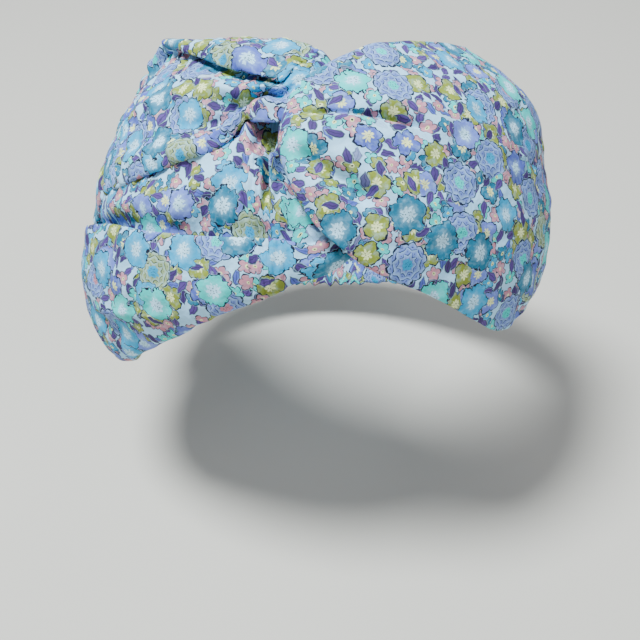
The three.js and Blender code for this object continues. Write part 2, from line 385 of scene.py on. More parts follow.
# fmt: off
UPPER_LEG = [
    turn(-205, 0, 10.4, UP, 18.5, 18.5, GATHERED),
    turn(-192, 0, 10.4, UP, 19, 19, GATHERED),
    leg(-175, 6, 10.2, UP,
        [29, 31, 30, 27, 23.5, 20, 17.5, 15, 11, 6, 1, -4, -9, -13, -17.5, -19],
        [9.5, 11.4, 12.8, 13.6, 13.2, 12.6, 13.2, 13.8, 12.8, 13.8, 12.8, 13.6, 12.8, 13.4, 12.4, 10]),
    leg(-140, 17, 12, UP,
        [46, 48.4, 47.4, 44, 40, 36, 32.5, 28, 22.5, 16.5, 10, 4, -2, -7.5, -11.5, -13],
        [8.5, 10.6, 12.4, 13.4, 12.8, 12, 12.2, 12.8, 12, 13, 12.4, 13.4, 13, 13.2, 12.4, 10.5]),
    leg(-105, 23, 12, UP,
        [49, 51.6, 51, 48.5, 45, 41.5, 38, 33, 27, 21, 15.5, 10, 5.5, 1.5, -1.5, -2.3],
        [9, 11, 13, 14, 13.4, 12.2, 11.4, 11.8, 12.2, 11.8, 12, 12.6, 12.6, 12.2, 11.6, 10.8]),
    leg(-90, 23, 12, UP,
        [50.5, 53.6, 53.6, 51.4, 48.4, 45.6, 43, 37, 30, 23.5, 17, 11, 6.5, 2, -1, -1.8],
        [10, 13, 15.6, 16.8, 15.4, 13, 11.8, 12, 13.2, 12.6, 12.2, 13.2, 13.4, 12.8, 11.8, 11]),
    leg(-78, 24, 12, UP,
        [51, 54.6, 55, 53.8, 52, 50.2, 48.8, 41, 33, 25.5, 18, 11.5, 6.8, 2.2, -0.8, -1.5],
        [11, 14.8, 18, 19.4, 18.4, 15.6, 13.4, 12.8, 13.8, 13.8, 12.6, 13.8, 14, 13, 11.9, 11]),
    leg(-66, 24, 12, UP,
        [49, 52.2, 52.4, 51, 49, 47.4, 47.8, 41, 33, 26, 18, 12, 7, 2.8, 0, -0.6],
        [10, 13.4, 17, 18.8, 17.8, 15.4, 13.2, 12.8, 15, 15.2, 13, 14.4, 14.6, 13.2, 11.9, 11]),
    leg(-52, 24, 12, UP,
        [46.8, 50, 49.8, 47.8, 45, 42.6, 44.2, 38.8, 32.4, 26, 17, 11, 7.5, 4.2, 1.8, 1.2],
        [9.8, 12.6, 16, 18, 17.6, 15.2, 12.8, 12.6, 15.2, 15.4, 12, 13.8, 14.4, 13.2, 11.9, 11]),
    leg(-37, 24, 11, UP,
        [45.5, 48.3, 47.6, 44, 39.8, 36, 38, 33.6, 29, 24.4, 15, 11, 8.6, 6, 4.2, 3.8],
        [8.5, 11.5, 15, 17.6, 17.4, 15.2, 12.4, 12, 14.8, 14.4, 9.6, 12.6, 13.8, 12.8, 11.8, 11]),
    leg(-30, 24, 11, UP,
        [45, 47.6, 46.8, 42.6, 37.4, 33, 35.2, 31.6, 27.6, 24.2, 17.5, 14, 11.6, 9, 7, 6.6],
        [8.2, 11.2, 15, 17.6, 17.4, 15.2, 12, 11.6, 14.8, 13.6, 8.4, 12.2, 14.2, 13, 11.8, 10.8]),
    leg(-26, 26, 10, UP,
        [44.5, 47.2, 46.2, 41.4, 36, 31.6, 34, 30.6, 26.8, 23.6, 19, 16.4, 14.6, 12.6, 10.8, 10.6],
        [8, 11, 14.9, 17.4, 17.2, 15, 11.8, 11.2, 14.4, 12.8, 7.2, 12, 13.8, 12.8, 11.6, 10.8]),
    leg(-22.8, 27, 10, UP,
        [44, 46.8, 45.6, 40.4, 35.2, 30.6, 33, 30, 26.2, 24, 21.6, 19.6, 17.8, 16, 14.6, 15],
        [7.6, 10.6, 14.6, 17, 16.8, 14.8, 11.6, 11, 14, 12, 6.8, 12, 14.4, 13.6, 12.2, 10.8]),
    leg(-20.6, 28, 10, UP,
        [43.6, 46.4, 45.2, 39.6, 34, 30, 32.4, 29.8, 26, 24.6, 22.8, 21, 19, 16.4, 13.2, 14.6],
        [7.2, 10.2, 14.2, 16.6, 16.4, 14.4, 11.2, 10.8, 13.8, 12, 6.8, 12.2, 15.6, 14.6, 12.2, 9.4]),
    leg(-17, 29, 9, UP,
        [43, 46, 45.4, 38.8, 32.8, 29, 31.4, 29.2, 26.2, 25.2, 24, 22.4, 20.4, 17, 13.2, 14.6],
        [6.8, 9.8, 13.6, 16, 15.6, 13.8, 10.8, 10.6, 13.4, 11.8, 7.2, 12.6, 15.8, 14.4, 12, 9]),
    leg(-11.5, 29, 9, UP,
        [42, 46, 45.6, 37.6, 31.4, 27.4, 29.6, 28, 25.4, 24.4, 22.8, 21.2, 19.2, 16.4, 13, 14.4],
        [6.2, 9.2, 12.8, 15, 14.6, 13.2, 12, 11.8, 12.8, 11.8, 9.4, 12, 14.2, 13, 11.2, 8.6]),
]
KNOT_TURN = [
    turn(-4, 29, 10.6, 80, 14.5, 13),
    turn(3, 24, 9.4, 58, 12, 12),
    turn(8.5, 16, 8.4, 30, 11.5, 12),
    turn(12, 4, 8.4, 0, 12, 12),
    turn(8, -10, 8.2, -40, 16, 13),
    turn(0, -16, 7.8, -66, 20, 17),
]
LOWER_LEG = [
    leg(-7, -18, 7.6, DOWN,
        [-38, -39.6, -38.4, -35, -31, -26.4, -28.4, -24, -19, -14, -10.5, -7, -3.5, -0.5, 1.5, 2.5],
        [5.8, 8, 9.8, 10.8, 11, 10.2, 7.6, 7.2, 8.2, 8.2, 7.2, 5.8, 4.8, 4, 3.6, 3.2]),
    leg(-11, -18, 7.4, DOWN,
        [-40.2, -41.8, -40.4, -36.4, -31.8, -25.8, -28, -23.4, -17.6, -12, -7, -3, 0, 1.6, 4, 8],
        [5.6, 8, 10, 11.2, 11.4, 10.5, 7.4, 7.2, 9, 9.4, 8.6, 5.6, 3.2, 2, 1.2, 1]),
    leg(-14, -18.6, 7.4, DOWN,
        [-41.6, -43, -41.6, -37.6, -32.2, -25.4, -28, -23, -17, -11, -6, -2, 1.6, 3.2, 4.4, 8],
        [5.6, 8.1, 10.1, 11.5, 11.8, 10.7, 7.4, 7.3, 9.4, 11, 12.2, 12.8, 12.4, 8.2, 3.6, 1]),
    leg(-14.8, -18.8, 7.4, DOWN,
        [-41.8, -43.2, -41.8, -37.8, -32.4, -25.4, -28, -23, -17, -12, -7.5, -3, 0.2, 3, 10, 17.6],
        [5.6, 8.1, 10.2, 11.6, 11.9, 10.8, 7.4, 7.4, 9.2, 8, 4.6, 2.6, 1.6, 0.9, 0.7, 0.9]),
    leg(-16.2, -19.2, 7.4, DOWN,
        [-42.2, -43.6, -42.2, -38, -32.4, -25.3, -28, -23, -17, -12, -7.5, -3, 0.2, 3, 10, 17.6],
        [5.6, 8.1, 10.3, 11.7, 12, 10.8, 7.4, 7.4, 9.3, 8.2, 4.8, 2.6, 1.6, 0.9, 0.8, 1]),
    leg(-17.1, -19.6, 7.4, DOWN,
        [-42.6, -44, -42.6, -38, -32.3, -25.2, -28, -23, -17, -12, -7, -2.6, 1, 3, 10, 18],
        [5.7, 8.2, 10.4, 11.8, 12.1, 10.9, 7.4, 7.4, 9.5, 10.8, 11.4, 11.4, 9.6, 4.6, 1.6, 1.4]),
    leg(-18.8, -20, 7.3, DOWN,
        [-43.3, -44.7, -43.2, -38, -32, -25, -28, -23, -17, -12, -7, -2.4, 1.4, 3.6, 10, 18.6],
        [5.8, 8.3, 10.6, 12, 12.2, 11, 7.5, 7.5, 9.6, 11, 11.8, 12, 11, 6.6, 4, 3.6]),
    leg(-20.8, -20.5, 7.3, DOWN,
        [-43.8, -45.2, -43.8, -38.4, -32, -24.9, -28, -22.8, -16.5, -11, -5.5, -0.6, 3.4, 5.4, 10, 18.4],
        [5.9, 8.4, 10.8, 12.2, 12.4, 11.1, 7.5, 7.5, 9.7, 11, 11.8, 12.2, 11.6, 7.6, 4.4, 4]),
    leg(-22.4, -21, 7.2, DOWN,
        [-44.3, -45.7, -44.3, -38.6, -32, -24.8, -28, -22.5, -16, -10, -4, 2, 8, 13, 15.4, 18],
        [6, 8.5, 10.9, 12.3, 12.5, 11.2, 7.6, 7.6, 9.8, 10.8, 11.4, 12, 12.2, 11.6, 9, 5]),
    leg(-27, -21, 7.2, DOWN,
        [-45.2, -46.8, -45.2, -39, -32, -24.5, -28, -22.5, -15.5, -9.5, -3.5, 2, 7, 10.5, 13.4, 17],
        [6, 8.6, 11, 12.4, 12.6, 11.2, 7.6, 7.6, 9.8, 10.4, 10.6, 11, 11, 10.4, 8.4, 5]),
    leg(-43, -24, 7, DOWN,
        [-49.4, -51, -49.2, -42, -32, -22.9, -26.6, -21, -15, -9.5, -4, 0.5, 4, 6.5, 9.5, 13],
        [6.5, 9.2, 11.8, 13.4, 13.6, 12, 7.6, 7.4, 10, 10.8, 10.8, 10.5, 10, 8.8, 7.2, 5.4]),
    leg(-62, -26, 7.5, DOWN,
        [-53.8, -55.6, -53.8, -45.5, -33, -19.9, -24.2, -18.5, -13, -8.5, -4.5, -1.5, 1, 3.5, 5.5, 8],
        [7.5, 10.2, 13, 14.8, 15, 13.2, 8.4, 7.8, 10.8, 11.6, 10.9, 10.4, 9.8, 8.8, 7.6, 6.4]),
    leg(-82, -28, 8, DOWN,
        [-57.2, -59.2, -57.2, -48, -33, -15.6, -20.2, -15, -10.5, -7, -4, -1.5, 0.5, 2.5, 4.5, 6.5],
        [9, 11.8, 14.6, 16.6, 16.6, 14.4, 8.8, 8.2, 11.2, 11.8, 11, 10.5, 10, 9, 7.8, 6.6]),
    leg(-106, -30, 9, DOWN,
        [-60.5, -63, -60.4, -49, -31, -12.6, -17.2, -12.5, -8.5, -5.5, -3, -1, 1, 3, 4.5, 5.8],
        [11, 14, 17, 18.8, 18.4, 15.6, 9.8, 8.8, 11, 11.4, 10.8, 10.4, 9.6, 8.6, 7.4, 6]),
    leg(-125, -26, 8, DOWN,
        [-57, -59.5, -57.2, -47, -30, -10.8, -15, -10, -5.5, -2.5, 0, 2, 4, 6.5, 8.5, 10],
        [10, 13, 16, 18.2, 17.4, 14.4, 9.4, 8, 9, 8.8, 7.6, 6.8, 6, 5, 4.2, 3]),
    leg(-145, -19, 6, DOWN,
        [-48, -50, -48.2, -40, -26, -9, -12, -7, -2.5, 0.5, 3, 5.5, 8, 10.5, 12.5, 13.5],
        [6, 8.6, 11.4, 13.6, 13.2, 11, 8, 6.6, 7.2, 6.8, 6.2, 5.6, 4.9, 4.1, 3.3, 2.2]),
    leg(-175, -5, 3.6, DOWN,
        [-28, -29.5, -28, -24, -19.5, -14.5, -11, -7.5, -3.5, 0.5, 4, 7.5, 11, 14.5, 17, 18.5],
        [2.6, 4.2, 5.6, 6.8, 6, 6.8, 5.6, 6.6, 5.4, 6.6, 5.2, 6.2, 5, 5, 4, 2.4]),
    turn(-192, 0, 4.8, DOWN, 19, 19, GATHERED),
    turn(-205, 0, 4.8, DOWN, 18.5, 18.5, GATHERED),
]
LEFT_BAND = UPPER_LEG + KNOT_TURN + LOWER_LEG

# The right band: (along, z, lift) and (half width, crown) of a plain section.
RIGHT_BAND = [
    (205, 0, 10.4, 18.5, 0.4), (192, 0, 10.4, 19, 0.4), (175, 3, 11, 25, 1.2), (140, 4, 13.5, 33, 2.2),
    (110, 6, 15, 44, 3), (85, 0.5, 15.2, 52.5, 2.8), (60, 0.5, 15, 49.5, 3), (38, 2, 15.2, 44.2, 3),
    (22, 2.5, 15.4, 40, 3.2), (10, 3.2, 15.2, 33.7, 3.4), (2, 4.2, 14.8, 28, 3.6),
    (-4.5, 6.6, 13.2, 21.5, 3.6),
    (-9, 8.5, 10.6, 14, 2.4), (-10.8, 9, 7, 8.5, 1.6), (-7, 9, 3.4, 6, 1.2), (3, 8, 1.6, 13, 0.8),
    (18, 5, 1.5, 27, 0.6), (40, 3, 1.9, 40, 0.8), (65, 1, 2.1, 45, 0.8), (90, 0, 2.4, 44, 0.8),
    (115, 2, 2.6, 35, 0.8), (145, 3, 2.8, 27, 0.8), (175, 2, 3, 22, 0.6), (192, 0, 3, 18.5, 0.4),
    (205, 0, 3, 18.5, 0.4),
]
# fmt: on
KNOT = np.array((-12.0, 12.0))


def knot_folds(sheet, seed, count, height, start, strongest, end):
    """Soft folds that radiate from the knot, as a lift for each point of a sheet in wrap coordinates."""
    away = sheet[..., :2] - KNOT
    distance = np.linalg.norm(away, axis=-1)
    bearing = np.arctan2(away[..., 1], away[..., 0])
    rng = np.random.default_rng(seed)
    total = np.zeros_like(distance)
    for _ in range(count):
        number = 5 + 13 * rng.random()
        wander = 0.35 * np.sin(distance / (9 + 14 * rng.random()) + 6 * rng.random())
        total += np.sin(number * (bearing + wander / 3) + 2 * math.pi * rng.random())
    rise = np.clip((distance - start) / (strongest - start), 0, 1)
    fall = np.clip((end - distance) / (end - strongest), 0, 1)
    return height * total / math.sqrt(count) * rise**0.7 * fall**1.5


def line_feature(sheet, rows, points, height, width, step=0.0, ends=8.0):
    """Adds lift along a line of (along, z) points: a ridge or, where height is negative, a valley.
    A step raises the cloth on the lower side of the line by that much."""
    area = sheet[rows[0] : rows[1]]
    line = smooth_path(points, np.linspace(0, len(points) - 1, 160))
    away = area[..., None, :2] - line
    nearest = np.argmin((away**2).sum(-1), axis=-1)
    gap = np.take_along_axis(away, nearest[..., None, None], axis=-2)[..., 0, :]
    t = unit(np.gradient(line, axis=0))[nearest]
    signed = gap[..., 0] * t[..., 1] - gap[..., 1] * t[..., 0]
    beyond = np.abs((gap * t).sum(-1))
    length = distances_along(line)
    inside = np.minimum(length[nearest], length[-1] - length[nearest]) - beyond
    profile = height * np.exp(-((signed / width) ** 2))
    if step:
        side = 1 / (1 + np.exp(-signed / (width * 0.25)))
        profile = profile + step * side * np.exp(-((np.maximum(0, signed) / (width * 5)) ** 2))
    area[..., 2] += profile * smoothstep(inside / ends + 0.35)


CREASE_FLOOR = -15.2
PLEAT_TUCK = 2.2


def tuck_under(sheet, rows):
    """Slides the floor of the crease beside the knot under the pleat next to it."""
    area = sheet[rows[0] : rows[1]]
    along, z, lift = area[..., 0], area[..., 1], area[..., 2]
    beside = np.exp(-(((along - CREASE_FLOOR) / 1.4) ** 2))
    low = smoothstep((8 - lift) / 4)
    high_enough = smoothstep((z + 14) / 7) * smoothstep((20 - z) / 8)
    area[..., 0] = along + PLEAT_TUCK * beside * low * high_enough


def calm_near_join(sheet, side):
    """0 at a join, where the cloth lies flat in the lap, and 1 further along."""
    return np.clip((np.abs(sheet[..., 0] - side * JOIN_ALONG) - 10) / 25, 0, 1)


def left_band_sheet(rows=380, columns=144):
    stations = [s for s, _ in LEFT_BAND]
    sections = [p for _, p in LEFT_BAND]
    knot_end = len(UPPER_LEG) + len(KNOT_TURN)
    finer = (knot_end + 0.5, knot_end + 8.0, 22.0)
    sheet, numbers = outer_sheet(stations, sections, turning_frames, rows, columns, finer)
    upper_end, lower_start = len(UPPER_LEG) - 0.5, len(UPPER_LEG) + len(KNOT_TURN) - 1.2
    calm = calm_near_join(sheet, -1)
    sheet[..., 2] += knot_folds(sheet, 11, 6, 0.8, 10, 30, 110) * calm
    upper = np.searchsorted(numbers, [3.0, upper_end])
    lower = np.searchsorted(numbers, [lower_start, len(LEFT_BAND) - 3.0])
    pleat_edge = [(-104, -45), (-91, -47), (-78, -48.5), (-65, -50), (-50, -51)]
    line_feature(sheet, lower, pleat_edge, 0.8, 2.2, step=-2.2)
    tuck_under(sheet, lower)
    line_feature(sheet, lower, [(-22, -4), (-24, -10), (-27, -16), (-30, -20)], 1.0, 2.4, ends=5)
    line_feature(sheet, lower, [(-29, -3), (-36, -9), (-44, -14), (-52, -17)], 0.8, 3.0)
    line_feature(sheet, lower, [(-58, -8), (-72, -9), (-88, -8)], 0.8, 2.6)
    line_feature(sheet, upper, [(-26, 24), (-45, 26), (-66, 27), (-90, 22)], 0.8, 2.6, ends=9)
    line_feature(sheet, upper, [(-28, 15), (-45, 14.5), (-64, 13), (-88, 11)], -1.0, 2.4, ends=10)
    u = np.broadcast_to(numbers[:, None], sheet.shape[:2]) * 11
    sheet[..., 2] += 0.42 * waves(sheet[..., 0], sheet[..., 1] + 2 * u, 21, 10, 7, 24) * calm
    return sheet


UPPER_FULLNESS = 5.0
FULLEST_ALONG = 108.0
FULLNESS_REACH = 36
FRONT_STATIONS = 11


def right_band_sheet(rows=340, columns=132):
    stations = [(s[0], s[1], s[2], 0) for s in RIGHT_BAND]
    sections = []
    for number, (along, _, _, half_width, crown) in enumerate(RIGHT_BAND):
        nearness = math.exp(-(((along - FULLEST_ALONG) / FULLNESS_REACH) ** 2))
        fullness = UPPER_FULLNESS * nearness if number < FRONT_STATIONS else 0
        sections.append(simple_section(half_width, crown, [(0.62, fullness, 0.34)]))
    sheet, numbers = outer_sheet(stations, sections, folding_frames, rows, columns)
    front = np.searchsorted(numbers, [1.5, 12.0])
    calm = calm_near_join(sheet, 1)
    face = np.clip((12.6 - numbers) / 1.2, 0, 1)[:, None]
    rear = np.clip((numbers - 14.5) / 2, 0, 1)[:, None]
    folds = knot_folds(sheet, 5, 5, 0.8, 8, 34, 120)
    sheet[..., 2] += folds * calm * (face + 0.6 * rear)
    pleat_edge = [(36, 10.5), (21, 13.5), (13.4, 14.5), (3, 14.6), (-6, 14.2)]
    line_feature(sheet, front, pleat_edge, -2.6, 1.1, step=-3.2, ends=12)
    line_feature(sheet, front, [(-3, 9), (8, 8.6), (22, 7), (40, 3)], 1.3, 3.6, ends=12)
    line_feature(sheet, front, [(-5, 2.6), (0, -1.8), (7.4, -7.6), (17, -16)], -5.4, 3.4, ends=9)
    line_feature(sheet, front, [(2, 6), (10, 0), (20, -8), (32, -18)], 1.4, 4.0, ends=10)
    line_feature(sheet, front, [(0, 24), (10, 29), (22, 33), (36, 36)], -0.9, 2.6, ends=9)
    line_feature(sheet, front, [(3, 5), (14, 3), (30, -1), (48, -6)], -0.9, 2.8, ends=9)
    sheet[..., 2] += 0.32 * waves(sheet[..., 0], sheet[..., 1], 22, 9, 8, 30) * calm * (face + rear)
    return sheet


# ---------------------------------------------------------------- node maths and colours


def srgb(red, green, blue):
    """An 8-bit display colour as the linear values that shaders use."""
    shares = [value / 255 for value in (red, green, blue)]
    linear = [c / 12.92 if c <= 0.04045 else ((c + 0.055) / 1.055) ** 2.4 for c in shares]
    return (*linear, 1.0)


def set_inputs(node, values):
    for name, value in values.items():
        node.inputs[name].default_value = value


class Wire:
    """A node socket and its tree, so that node maths reads as arithmetic."""

    def __init__(self, tree, socket):
        self.tree, self.socket = tree, socket

    def maths(self, operation, *others, clamp=False):
        node = self.tree.nodes.new("ShaderNodeMath")
        node.operation, node.use_clamp = operation, clamp
        for k, value in enumerate((self, *others)):
            join(value, node.inputs[k])
        return Wire(self.tree, node.outputs[0])

    def __add__(self, other):
        return self.maths("ADD", other)

    def __sub__(self, other):
        return self.maths("SUBTRACT", other)

    def __mul__(self, other):
        return self.maths("MULTIPLY", other)

    def __truediv__(self, other):
        return self.maths("DIVIDE", other)

    def below(self, edge, softness):
        """1 where this is under edge and 0 above it, over a soft step."""
        node = self.tree.nodes.new("ShaderNodeMapRange")
        node.interpolation_type = "SMOOTHSTEP"
        join(self - edge, node.inputs["Value"])
        set_inputs(node, {"From Min": -softness, "From Max": softness, "To Min": 1, "To Max": 0})
        return Wire(self.tree, node.outputs["Result"])


def join(value, socket):
    if isinstance(value, Wire):
        value.tree.links.new(value.socket, socket)
    else:
        socket.default_value = value


def mixed(factor, under, over):
    """under, painted with over where factor is 1."""
    node = factor.tree.nodes.new("ShaderNodeMix")
    node.data_type, node.clamp_factor = "RGBA", True
    join(factor, node.inputs[0])
    join(under, node.inputs[6])
    join(over, node.inputs[7])
    return Wire(factor.tree, node.outputs[2])


def noise(place, scale, detail=2.0, output="Factor"):
    node = place.tree.nodes.new("ShaderNodeTexNoise")
    join(place, node.inputs["Vector"])
    set_inputs(node, {"Scale": scale, "Detail": detail})
    return Wire(place.tree, node.outputs[0 if output == "Factor" else 1])


def voronoi(place, cell, randomness):
    """Flat Voronoi cells of about that size."""
    node = place.tree.nodes.new("ShaderNodeTexVoronoi")
    node.voronoi_dimensions, node.feature = "2D", "F1"
    join(place, node.inputs["Vector"])
    set_inputs(node, {"Scale": 1 / cell, "Randomness": randomness})
    return node


def vector(operation, *values):
    tree = values[0].tree
    node = tree.nodes.new("ShaderNodeVectorMath")
    node.operation = operation
    for k, value in enumerate(values):
        join(value, node.inputs["Scale"] if operation == "SCALE" and k else node.inputs[k])
    return Wire(tree, node.outputs["Value" if operation == "LENGTH" else "Vector"])


def parts(value):
    node = value.tree.nodes.new("ShaderNodeSeparateXYZ")
    join(value, node.inputs[0])
    return [Wire(value.tree, s) for s in node.outputs]


def choice(pick, colours):
    """One of the colours, by a number from 0 to 1."""
    node = pick.tree.nodes.new("ShaderNodeValToRGB")
    node.color_ramp.interpolation = "CONSTANT"
    elements = node.color_ramp.elements
    while len(elements) < len(colours):
        elements.new(0.5)
    for k, colour in enumerate(colours):
        elements[k].position = k / len(colours)
        elements[k].color = colour
    join(pick, node.inputs[0])
    return Wire(pick.tree, node.outputs[0])


# ---------------------------------------------------------------- the printed cotton

TEAL, SKY, MINT = srgb(22, 114, 146), srgb(26, 158, 206), srgb(44, 206, 200)
PERIWINKLE, LAVENDER, OLIVE = srgb(84, 100, 188), srgb(108, 126, 210), srgb(136, 148, 56)
PINK, PURPLE, VIOLET = srgb(196, 132, 148), srgb(72, 52, 112), srgb(90, 66, 138)
GROUND, SHADE = srgb(184, 228, 250), srgb(150, 202, 240)
LINE, CREAM = srgb(28, 32, 52), srgb(232, 240, 174)
PRINT_SCALE = 1.1
FULL_TURN = 6.283


class Motifs:
    """A scatter of one kind of flower: for each point, the nearest flower's own polar coordinates."""

    def __init__(self, place, cell, scatter, shift):
        moved = vector("ADD", place, (*shift, 0.0))
        node = voronoi(moved, cell, scatter)
        self.first, self.second, self.third = parts(Wire(place.tree, node.outputs["Color"]))
        self.offset = vector("SUBTRACT", moved, Wire(place.tree, node.outputs["Position"]))
        self.x, self.y, _ = parts(self.offset)
        self.distance = vector("LENGTH", self.offset)
        self.bearing = self.y.maths("ARCTAN2", self.x) + self.second * FULL_TURN

    def present(self, share):
        """1 in the share of the cells that hold a flower, and 0 in the rest."""
        return self.third.below(share, 0.01)

    def petals(self, count, radius, depth, sharpness=0.6, turn=0.0):
        """The flower's outline: how far out its edge is at this bearing."""
        swing = ((self.bearing + turn) * (count / 2)).maths("COSINE")
        lobes = swing.maths("ABSOLUTE").maths("POWER", sharpness)
        return (lobes * depth + (1 - depth)) * radius


def painted(colour, motifs, present, edge, fill, line, halo):
    """colour, with one flower shape laid over it: a pale halo, the fill, and a thin uneven outline."""
    colour = mixed(motifs.distance.below(edge + halo, 0.25) * present, colour, GROUND)
    colour = mixed(motifs.distance.below(edge, 0.10) * present, colour, fill)
    pressure = noise(motifs.offset, 0.9)
    width = (pressure - 0.5) * 0.35 + line * 0.95
    stroke = (motifs.distance - edge).maths("ABSOLUTE").below(width, 0.07) * present
    return mixed(stroke, colour, LINE)


def dots(motifs, place, colour, reach, spacing=0.7, size=0.15):
    """Small dark stamens within reach of each flower's middle."""
    cells = voronoi(place, spacing, 0.7)
    spot = Wire(place.tree, cells.outputs["Distance"]).below(size / spacing, 0.09)
    return mixed(spot * motifs.distance.below(reach, 0.15) * 0.9, colour, LINE)


def washed(place, colour, strength):
    """A watercolour wash: the colour, paler in places."""
    patches = noise(place, 0.55, 3.0).maths("MULTIPLY_ADD", 3.2, -1.5, clamp=True)
    return mixed(patches * strength, colour, GROUND)


def leaves(place, colour, cell, shift, fills, share):
    """colour, scattered with small pointed leaves that have a dark outline and vein."""
    leaf = Motifs(place, cell, 0.85, shift)
    turn = leaf.second * FULL_TURN
    c, s = turn.maths("COSINE"), turn.maths("SINE")
    lengthwise = (leaf.x * c + leaf.y * s) / 2.5
    crosswise = (leaf.y * c - leaf.x * s).maths("ABSOLUTE") / 1.35
    body = (lengthwise * lengthwise + crosswise * (lengthwise * 0.5 + 1.25)).maths("POWER", 0.5)
    present = leaf.present(share)
    colour = mixed(body.below(1.1, 0.05) * present, colour, GROUND)
    colour = mixed(body.below(1.0, 0.06) * present, colour, choice(leaf.first, fills))
    outline = (body - 1.0).maths("ABSOLUTE").below(0.09, 0.05) * present
    vein = crosswise.below(0.10, 0.06) * body.below(0.75, 0.05) * present
    return mixed(outline * 0.8 + vein * 0.6, colour, LINE)


def floral_group():
    """A dense small floral print on a pale ground. Its input is a place on the flat cloth, in millimetres."""
    tree = bpy.data.node_groups.new("ditsy_print", "ShaderNodeTree")
    tree.interface.new_socket("Place", in_out="INPUT", socket_type="NodeSocketVector")
    tree.interface.new_socket("Color", in_out="OUTPUT", socket_type="NodeSocketColor")
    raw = vector("SCALE", Wire(tree, tree.nodes.new("NodeGroupInput").outputs[0]), 1 / PRINT_SCALE)
    wobble = vector("SUBTRACT", noise(raw, 0.5, 1.0, "Color"), (0.5, 0.5, 0.5))
    place = vector("ADD", raw, vector("SCALE", wobble, 1.5))
    colour = mixed(noise(raw, 0.12), GROUND, SHADE)

    colour = leaves(place, colour, 5.2, (3.1, 7.7), (PURPLE, VIOLET, PURPLE, PERIWINKLE), 0.9)
    for cell, shift, fills in (
        (6.2, (11.7, 2.3), (PINK, MINT, PINK, TEAL, PINK)),
        (6.8, (57.1, 33.7), (PINK, SKY, MINT, PINK, OLIVE)),
    ):
        small = Motifs(place, cell, 0.8, shift)
        present = small.present(0.8)
        edge = small.petals(5, 2.45, 0.45)
        fill = washed(place, choice(small.first, fills), 0.3)
        colour = painted(colour, small, present, edge, fill, line=0.18, halo=0.18)
        colour = mixed(small.distance.below(0.55, 0.12) * present, colour, CREAM)
        colour = mixed(small.distance.below(0.26, 0.08) * present, colour, LINE)

    medium = Motifs(place, 11.5, 0.75, (23.9, 71.3))
    present = medium.present(0.85)
    edge = medium.petals(4, 4.2, 0.42, 0.45) + (noise(place, 0.6) - 0.5) * 1.6
    fill = washed(place, choice(medium.first, (OLIVE, PERIWINKLE, OLIVE, TEAL, LAVENDER)), 0.4)
    colour = painted(colour, medium, present, edge, fill, line=0.22, halo=0.22)
    star = medium.petals(8, 1.7, 0.65, 0.8)
    colour = mixed(medium.distance.below(star, 0.2) * present, colour, CREAM)
    colour = dots(medium, place, colour, present * 0.8)

    colour = leaves(place, colour, 7.6, (41.3, 17.9), (PURPLE, VIOLET, PURPLE, VIOLET), 0.74)

    pompom = Motifs(place, 18.0, 0.66, (5.3, 13.1))
    present = pompom.present(0.5)
    edge = pompom.petals(12, 6.6, 0.16, 0.5)
    tint = mixed(pompom.first.below(0.82, 0.01), OLIVE, PERIWINKLE)
    ring = pompom.distance / 1.75
    level = ring.maths("FLOOR")
    scallop = ((pompom.bearing * 4.5 + level * 1.571).maths("COSINE").maths("ABSOLUTE")) * 0.5
    shade = (ring + scallop).maths("FRACT")
    petal = mixed(shade * 0.5, tint, GROUND)
    petal = mixed((shade - 0.02).below(0.13, 0.06), petal, LINE)
    colour = painted(colour, pompom, present, edge, petal, line=0.22, halo=0.22)
    heart = pompom.petals(7, 2.0, 0.25)
    heart_colour = choice(pompom.first, (SKY, MINT, PINK, SKY))
    colour = mixed(pompom.distance.below(heart, 0.12) * present, colour, heart_colour)
    colour = dots(pompom, place, colour, present * 1.35)

    for cell, shift, fills, radius in (
        (19.0, (61.9, 47.7), (SKY, PERIWINKLE, MINT, LAVENDER, SKY), 5.4),
        (20.0, (83.3, 29.1), (TEAL, MINT, TEAL, SKY, TEAL), 6.0),
    ):
        large = Motifs(place, cell, 0.66, shift)
        present = large.present(0.6)
        ruffle = (noise(place, 0.42, 2.0) - 0.5) * 4.2
        edge = large.petals(5, radius, 0.26, 0.5) + ruffle
        fill = washed(place, choice(large.first, fills), 0.3)
        fill = mixed(large.distance.below(radius * 0.45, radius * 0.3) * 0.3, fill, GROUND)
        colour = painted(colour, large, present, edge, fill, line=0.22, halo=0.25)
        rays = (noise(large.offset, 1.6) - 0.5) * 3.4
        star = large.petals(9, radius * 0.4, 0.45, 0.7, 0.4) + rays
        colour = mixed(large.distance.below(star, 0.3) * present, colour, GROUND)
        colour = dots(large, place, colour, present * (radius * 0.28), 0.95, 0.19)

    colour = vector("SCALE", colour, noise(raw, 0.035) * 0.12 + 0.9)
    tree.links.new(colour.socket, tree.nodes.new("NodeGroupOutput").inputs[0])
    return tree


def new_material(name):
    material = bpy.data.materials.new(name)
    material.use_nodes = True
    tree = material.node_tree
    return material, tree, tree.nodes["Principled BSDF"]


def uv_place(tree):
    node = tree.nodes.new("ShaderNodeUVMap")
    node.uv_map = "cloth_mm"
    return Wire(tree, node.outputs[0])


def weave_height(place, pitch):
    """Crossing threads: a fine plain weave, as a height."""
    x, y, _ = parts(place)
    turn = 2 * math.pi / pitch
    return (x * turn).maths("SINE") * (y * turn).maths("SINE")


def add_bump(shader, height, strength, distance, under=None):
    tree = height.tree
    node = tree.nodes.new("ShaderNodeBump")
    set_inputs(node, {"Strength": strength, "Distance": distance})
    join(height, node.inputs["Height"])
    if under is not None:
        tree.links.new(under.outputs[0], node.inputs["Normal"])
    tree.links.new(node.outputs[0], shader.inputs["Normal"])
    return node


